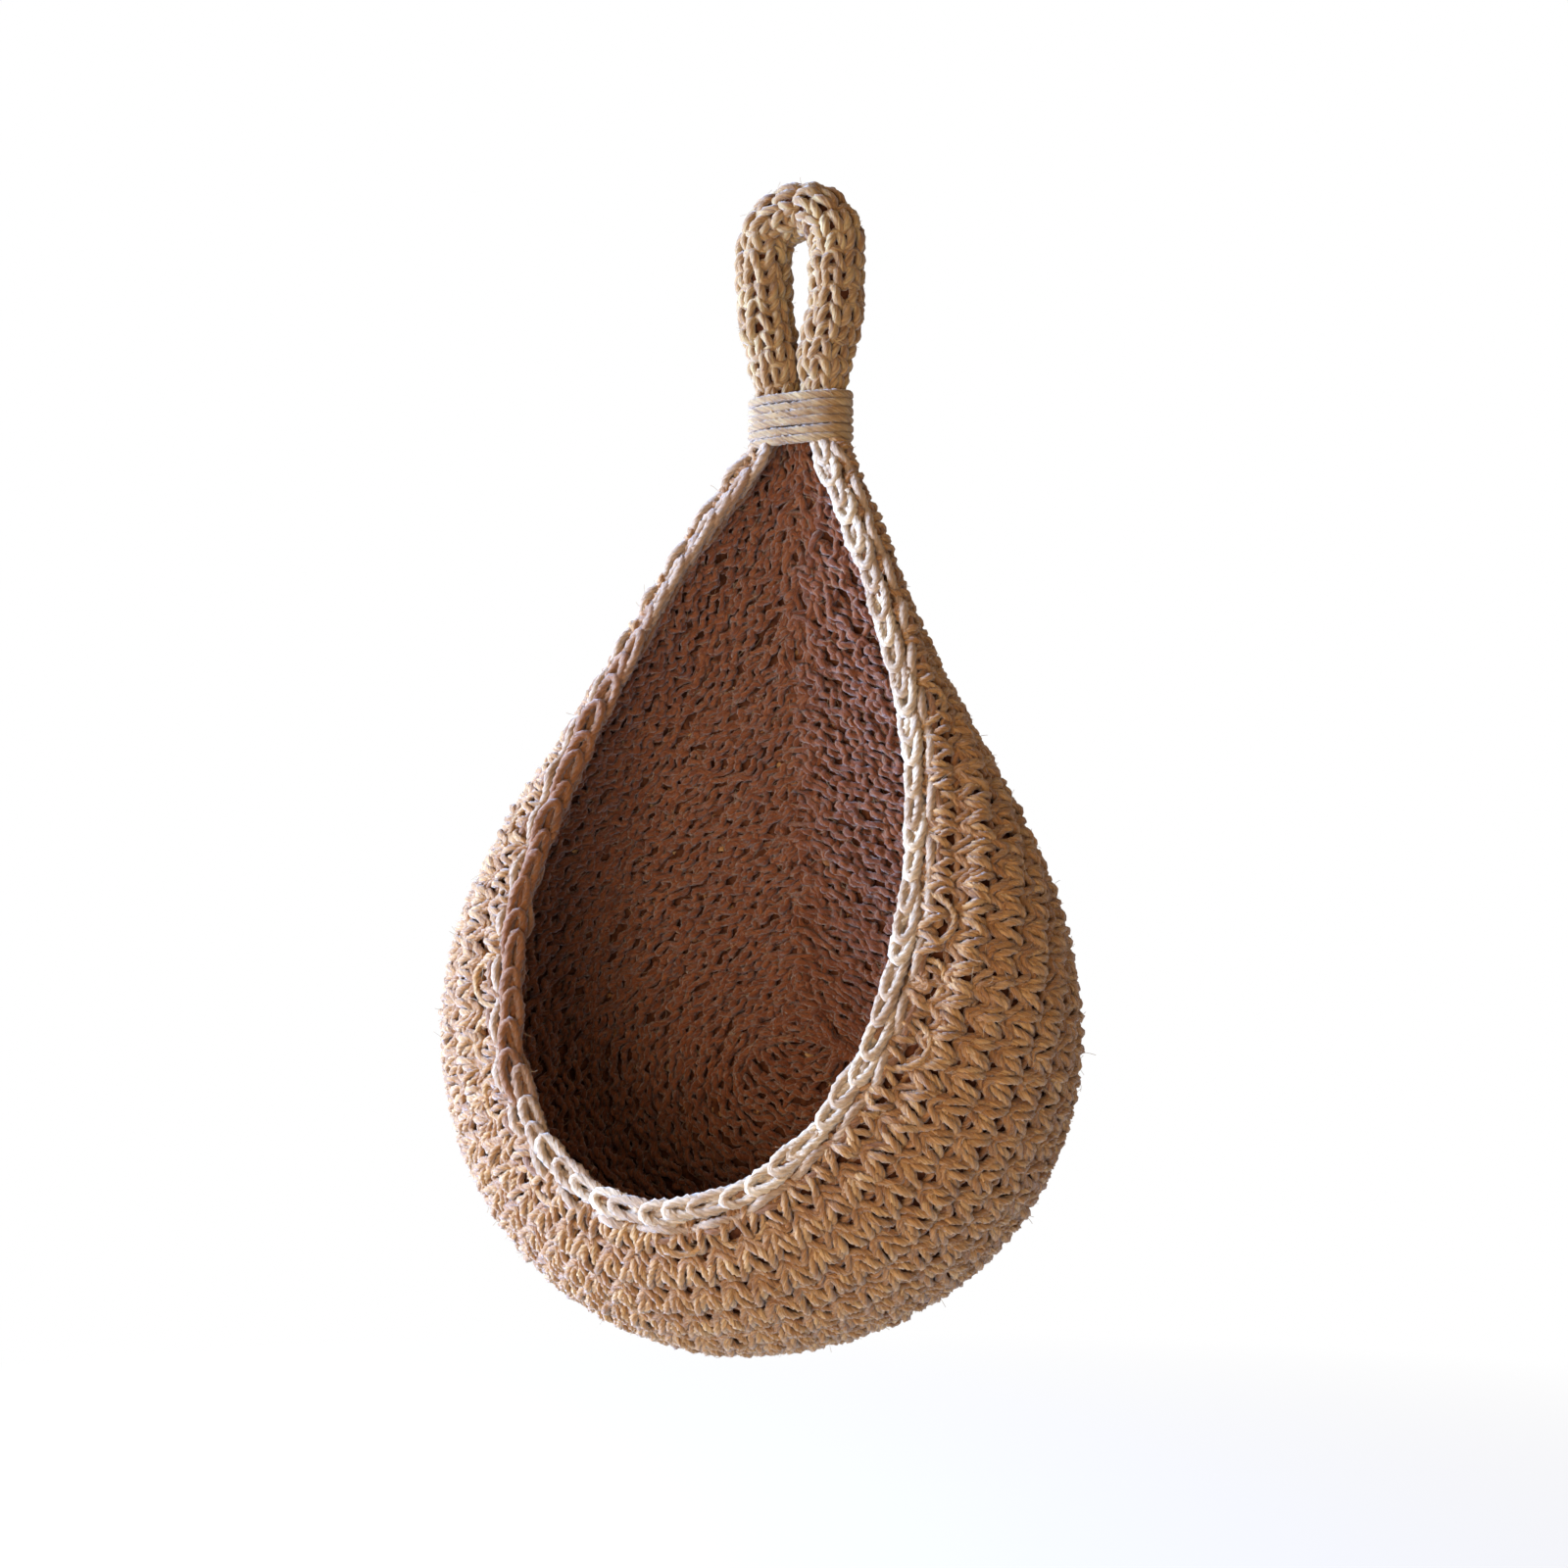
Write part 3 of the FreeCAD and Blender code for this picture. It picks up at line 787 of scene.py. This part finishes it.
hinge = frame["record"]["behaviour"]["joints"][0]["pos_m"]
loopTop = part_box("hanging_loop")[1]


def cordRoute():
    archR = loopTop.x / mm - cord["radius"]
    archZ = loopTop.z / mm - cord["radius"] - archR
    z = np.linspace(cord["end"], archZ, cord["legSteps"])
    x = cord["legX"] + (archR - cord["legX"]) * smooth((z - hinge[2] / mm) / cord["knee"])
    right = np.stack([x, 0 * z, z], axis=1)
    turn = np.linspace(0, math.pi, cord["archSteps"])[1:-1]
    arch = np.stack([archR * np.cos(turn), 0 * turn, archZ + archR * np.sin(turn)], axis=1)
    return np.concatenate([right, arch, right[::-1] * [-1, 1, 1]])


def workCord():
    route = cordRoute()
    arc = runLength(route)
    ahead = unit(np.gradient(route, axis=0))
    side = np.cross([0, 1.0, 0], ahead)
    girth = 2 * math.pi * cord["middle"]
    length = arc[-1]

    def wrapped(u, s, n):
        along = np.clip(s + cord["row"] * u / girth, 0, length)
        centre = np.stack([np.interp(along, arc, route[:, a]) for a in range(3)], axis=1)
        across = np.stack([np.interp(along, arc, side[:, a]) for a in range(3)], axis=1)
        press = smooth((cord["pressFrom"] - centre[:, 2]) / cord["pressOver"])
        out = (cord["middle"] + n) * (1 - cord["pressed"] * press)
        spin = 2 * math.pi * u / girth
        spot = centre + across * (out * np.cos(spin))[:, None]
        spot[:, 1] += out * np.sin(spin) * (1 - (1 - cord["flat"]) * press)
        return spot

    guide = {"length": girth * (length / cord["row"] - 1), "closed": False, "at": wrapped}
    pitch = girth / cord["around"]
    strands = [workStitches(guide, 0, cord["row"], pitch, 0, [cord[part]]) for part in ("legs", "bar")]
    piece = layTwine("hanging_cord", strands, cordTwine, cordJute)

    # a dark core inside the stitches, in rings, which shuts the holes; its dark brown is painted shade
    sides = cord["coreSides"]
    along = np.arange(cord["coreEnds"], length - cord["coreEnds"], cord["coreStep"])
    turn = np.arange(sides) / sides * girth
    depth = np.full(sides, cord["core"] - cord["middle"])
    rings = np.concatenate([wrapped(turn, a - cord["row"] * turn / girth, depth) for a in along])
    row, step = np.arange(len(along) - 1)[:, None] * sides, np.arange(sides)
    after = (step + 1) % sides
    faces = np.stack([row + step, row + after, row + sides + after, row + sides + step], axis=2)
    faces = faces.reshape(-1, 4).tolist()
    faces += [list(range(sides - 1, -1, -1)), list(range(len(rings) - sides, len(rings)))]
    mesh = bpy.data.meshes.new("cord_heart")
    mesh.from_pydata((rings * mm).tolist(), [], faces)
    mesh.shade_smooth()
    mesh.materials.append(holeShadeJute)
    inner = bpy.data.objects.new("cord_heart", mesh)
    bpy.context.scene.collection.objects.link(inner)
    for part in (piece, inner):
        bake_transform(part)
        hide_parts("hanging_loop")
    return strands


cordLines = workCord()
print("cord worked")


# Lashing round the neck: one length of twine, its ends tucked under the turns at the back
lashing = {"turns": 6.0, "steps": 420, "wander": 0.14, "waves": (0.37, 0.81, 1.7), "tuck": 5.0, "tuckOver": 0.9,
           "squareness": 0.8}
lashTwine = {"radius": 1.85, "plies": 5, "groove": 0.86, "lay": 16.0, "uneven": 0.03, "rough": 0.04}


def windLashing():
    low, high = (np.array(corner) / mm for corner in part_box("neck_binding"))
    radius = lashTwine["radius"]
    turn = np.linspace(0, lashing["turns"] * 2 * math.pi, lashing["steps"])
    share = turn / turn[-1]
    uneven = sum(np.sin(turn * often + somePhase()) for often in lashing["waves"]) * lashing["wander"]
    tucked = smooth(1 - turn / lashing["tuckOver"]) + smooth(1 - (turn[-1] - turn) / lashing["tuckOver"])
    out = -tucked * lashing["tuck"]
    # an oval with flattened front and back
    across, deep = np.cos(turn + math.pi / 2), np.sin(turn + math.pi / 2)
    x = np.sign(across) * np.abs(across) ** lashing["squareness"] * (high[0] - radius + out)
    y = np.sign(deep) * np.abs(deep) ** lashing["squareness"] * (high[1] - radius + out)
    z = low[2] + radius + (high[2] - low[2] - 2 * radius) * share + uneven * (1 - tucked)
    strands = [np.stack([x, y, z], axis=1)]
    piece = layTwine("neck_lashing", strands, lashTwine, bindingJute)
    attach(piece, "basket")
    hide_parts("neck_binding")
    laidLines.extend(strands)


windLashing()
print("neck lashed")


# Stray fibres standing off the twine
stray = {"fabric": 8000, "cord": 500, "least": 1.8, "most": 4.5, "start": 1.4, "points": 6,
         # how much of its way is off the strand and along it, and how far it curls
         "off": (0.2, 0.8), "along": (0.5, 1.2), "curl": 0.28}
strayTwine = {"radius": 0.075, "plies": 2, "groove": 1.0, "lay": 50.0, "uneven": 0.0, "rough": 0.0}


def raiseFibres(name, lines, count):
    line = np.concatenate([p[1:-1] for p in lines])
    along = np.concatenate([unit(p[2:] - p[:-2]) for p in lines])
    pick = rng.integers(0, len(line), count)
    t = np.linspace(0, 1, stray["points"])[:, None]
    strands = []
    for i in pick:
        out = unit(np.cross(along[i], rng.normal(0, 1, 3)))
        off = out * rng.uniform(*stray["off"])
        away = unit(off + along[i] * rng.choice([-1, 1]) * rng.uniform(*stray["along"]))
        bend = rng.normal(0, 1, 3) * stray["curl"]
        long = rng.uniform(stray["least"], stray["most"])
        strands.append(line[i] + out * stray["start"] + away * long * t + bend * long * t ** 2)
    piece = layTwine(name, strands, strayTwine, looseJute)
    return piece


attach(raiseFibres("stray_fibres", laidLines, stray["fabric"]), "basket")
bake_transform(raiseFibres("stray_fibres_cord", cordLines, stray["cord"]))
print("fibres raised")


# Camera to the right of straight on, looking slightly up
camera = {"aim": (19.9, -51.0, -201.7), "distance": 945.0, "aside": math.radians(27.5), "up": math.radians(3),
          "lens": 64.08, "sensor": 36.0, "clip": (0.01, 20)}


def standCamera():
    aside, up = camera["aside"], camera["up"]
    ahead = Vector((-math.sin(aside) * math.cos(up), math.cos(aside) * math.cos(up), math.sin(up)))
    right = Vector((math.cos(aside), math.sin(aside), 0))
    over = right.cross(ahead)
    data = bpy.data.cameras.new("camera")
    data.lens, data.sensor_width = camera["lens"], camera["sensor"]
    data.clip_start, data.clip_end = camera["clip"]
    holder = bpy.data.objects.new("camera", data)
    bpy.context.scene.collection.objects.link(holder)
    turned = Matrix((right, over, -ahead)).transposed().to_4x4()
    turned.translation = Vector(camera["aim"]) * mm - ahead * camera["distance"] * mm
    holder.matrix_world = turned
    bpy.context.scene.camera = holder


standCamera()
print("camera set")


# Studio: white surround, pale floor under the hanging basket, a broad window light from the left and a weak fill
studio = {
    "floorDrop": 0.11,
    "floorSize": 4.0,
    "paper": "#f7efdc",
    "shadow": 0.45,          # this much of the floor's own shading shows, and it fades out between two distances
    "shadowFrom": 0.5,       # metres from the loop's eye
    "shadowReach": 0.45,
    "surround": 0.39,
    "surroundColour": "#ffdab4",
    "seen": "#ffffff",
    "aim": (0, -0.05, -0.22),
    "lamps": {
        "window": {"spot": (-1.40, -0.66, 0.15), "size": 0.7, "power": 130.0, "colour": "#a6c8ff"},
        "fill": {"spot": (0.0, -1.0, -0.48), "size": 0.6, "power": 8.0, "colour": "#ffdcb8"},
    },
}


def seenStraight(tree):
    # 1 for what the camera sees, also in a gloss or through glass, and 0 for light
    path = addNode(tree, "ShaderNodeLightPath")
    shown = path.outputs["Is Camera Ray"]
    for also in ("Is Glossy Ray", "Is Transmission Ray"):
        either = addNode(tree, "ShaderNodeMath", links={0: shown, 1: path.outputs[also]}, operation="MAXIMUM")
        shown = either.outputs["Value"]
    return shown


def buildStudio():
    floorZ = cadBox[0].z - studio["floorDrop"]
    size = studio["floorSize"]
    mesh = bpy.data.meshes.new("floor")
    mesh.from_pydata([(-size, -size, floorZ), (size, -size, floorZ), (size, size, floorZ), (-size, size, floorZ)],
                     [], [(0, 1, 2, 3)])
    floor = bpy.data.objects.new("floor", mesh)
    bpy.context.scene.collection.objects.link(floor)
    # matt white paper: the shadow shows under the basket and fades out into the white surround
    paper = bpy.data.materials.new("matt white paper")
    paper.use_nodes = True
    tree = paper.node_tree
    tree.nodes.clear()
    spot = addNode(tree, "ShaderNodeNewGeometry")
    apart = addNode(tree, "ShaderNodeVectorMath", links={0: spot.outputs["Position"]}, operation="LENGTH")
    near, far = studio["shadowFrom"], studio["shadowFrom"] + studio["shadowReach"]
    away = addNode(tree, "ShaderNodeMapRange", {"From Min": near, "From Max": far, "To Min": 1 - studio["shadow"]},
                   {"Value": apart.outputs["Value"]})
    shown = addNode(tree, "ShaderNodeMath", links={0: seenStraight(tree), 1: away.outputs["Result"]},
                    operation="MULTIPLY")
    matt = addNode(tree, "ShaderNodeBsdfDiffuse", {"Color": linear(studio["paper"])})
    white = addNode(tree, "ShaderNodeEmission", {"Color": linear(studio["seen"]), "Strength": 1.0})
    both = addNode(tree, "ShaderNodeMixShader", links={0: shown.outputs["Value"], 1: matt.outputs["BSDF"],
                                                       2: white.outputs["Emission"]})
    addNode(tree, "ShaderNodeOutputMaterial", links={"Surface": both.outputs["Shader"]})
    mesh.materials.append(paper)

    world = bpy.data.worlds.new("white surround")
    bpy.context.scene.world = world
    world.use_nodes = True
    tree = world.node_tree
    tree.nodes.clear()
    light = addNode(tree, "ShaderNodeBackground",
                    {"Color": linear(studio["surroundColour"]), "Strength": studio["surround"]})
    seen = addNode(tree, "ShaderNodeBackground", {"Color": linear(studio["seen"]), "Strength": 1.0})
    both = addNode(tree, "ShaderNodeMixShader", links={0: seenStraight(tree), 1: light.outputs["Background"],
                                                       2: seen.outputs["Background"]})
    addNode(tree, "ShaderNodeOutputWorld", links={"Surface": both.outputs["Shader"]})

    aim = Vector(studio["aim"])
    for name, lamp in studio["lamps"].items():
        data = bpy.data.lights.new(name, "AREA")
        data.energy, data.size, data.color = lamp["power"], lamp["size"], linear(lamp["colour"])[:3]
        holder = bpy.data.objects.new(name, data)
        bpy.context.scene.collection.objects.link(holder)
        holder.location = lamp["spot"]
        holder.rotation_euler = (aim - holder.location).to_track_quat("-Z", "Y").to_euler()


buildStudio()
print("studio built")
bpy.context.scene.view_settings.view_transform = "Standard"
